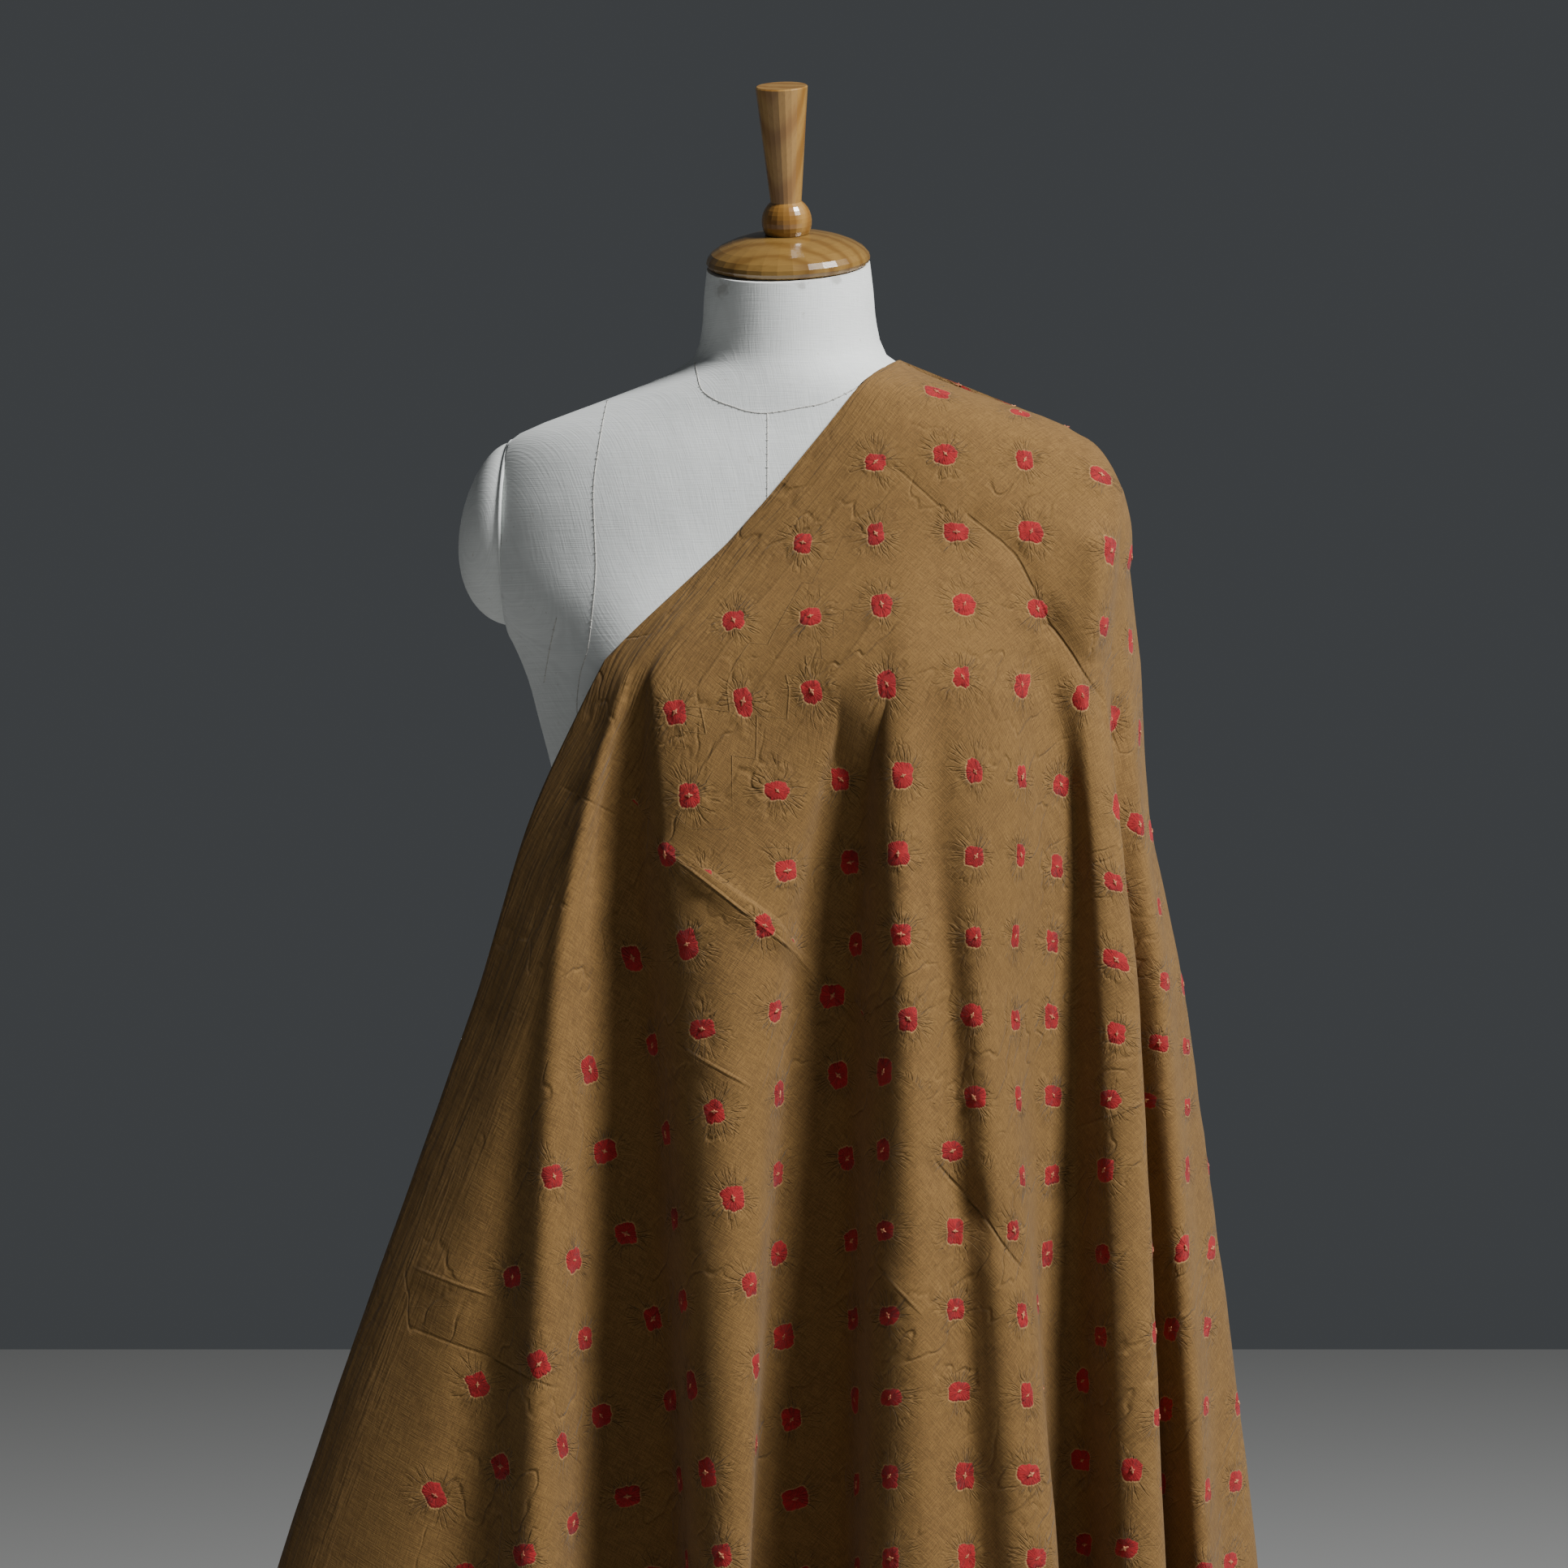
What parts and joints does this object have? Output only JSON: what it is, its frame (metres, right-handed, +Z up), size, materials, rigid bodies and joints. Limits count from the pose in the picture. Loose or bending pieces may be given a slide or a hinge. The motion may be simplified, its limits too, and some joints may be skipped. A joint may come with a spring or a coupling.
{
  "type": "bandhani cloth on a dress form",
  "caption": "Tie-dyed cotton cloth hung over one shoulder of a tailor's dress form, falling in deep folds to just above a round base.",
  "frame": {"origin": "middle of the base's underside, on the floor and on the post's axis", "axes": "+Z up, the form's front towards -Y and turned 8 degrees towards -X, +X towards the draped arm side"},
  "size_m": [0.7847, 0.3964, 1.4034],
  "materials": {
    "cotton": "plain-woven cotton, ochre brown with red tie-dyed dots",
    "linen": "off-white plain-woven cover",
    "wood": "turned and varnished, honey colour"
  },
  "bodies": {
    "root": {"cloth": "cotton", "torso": "linen", "arm_plate_left": "linen", "arm_plate_right": "linen", "neck_cap": "wood", "finial": "wood", "post": "wood", "base": "wood"}
  },
  "joints": []
}
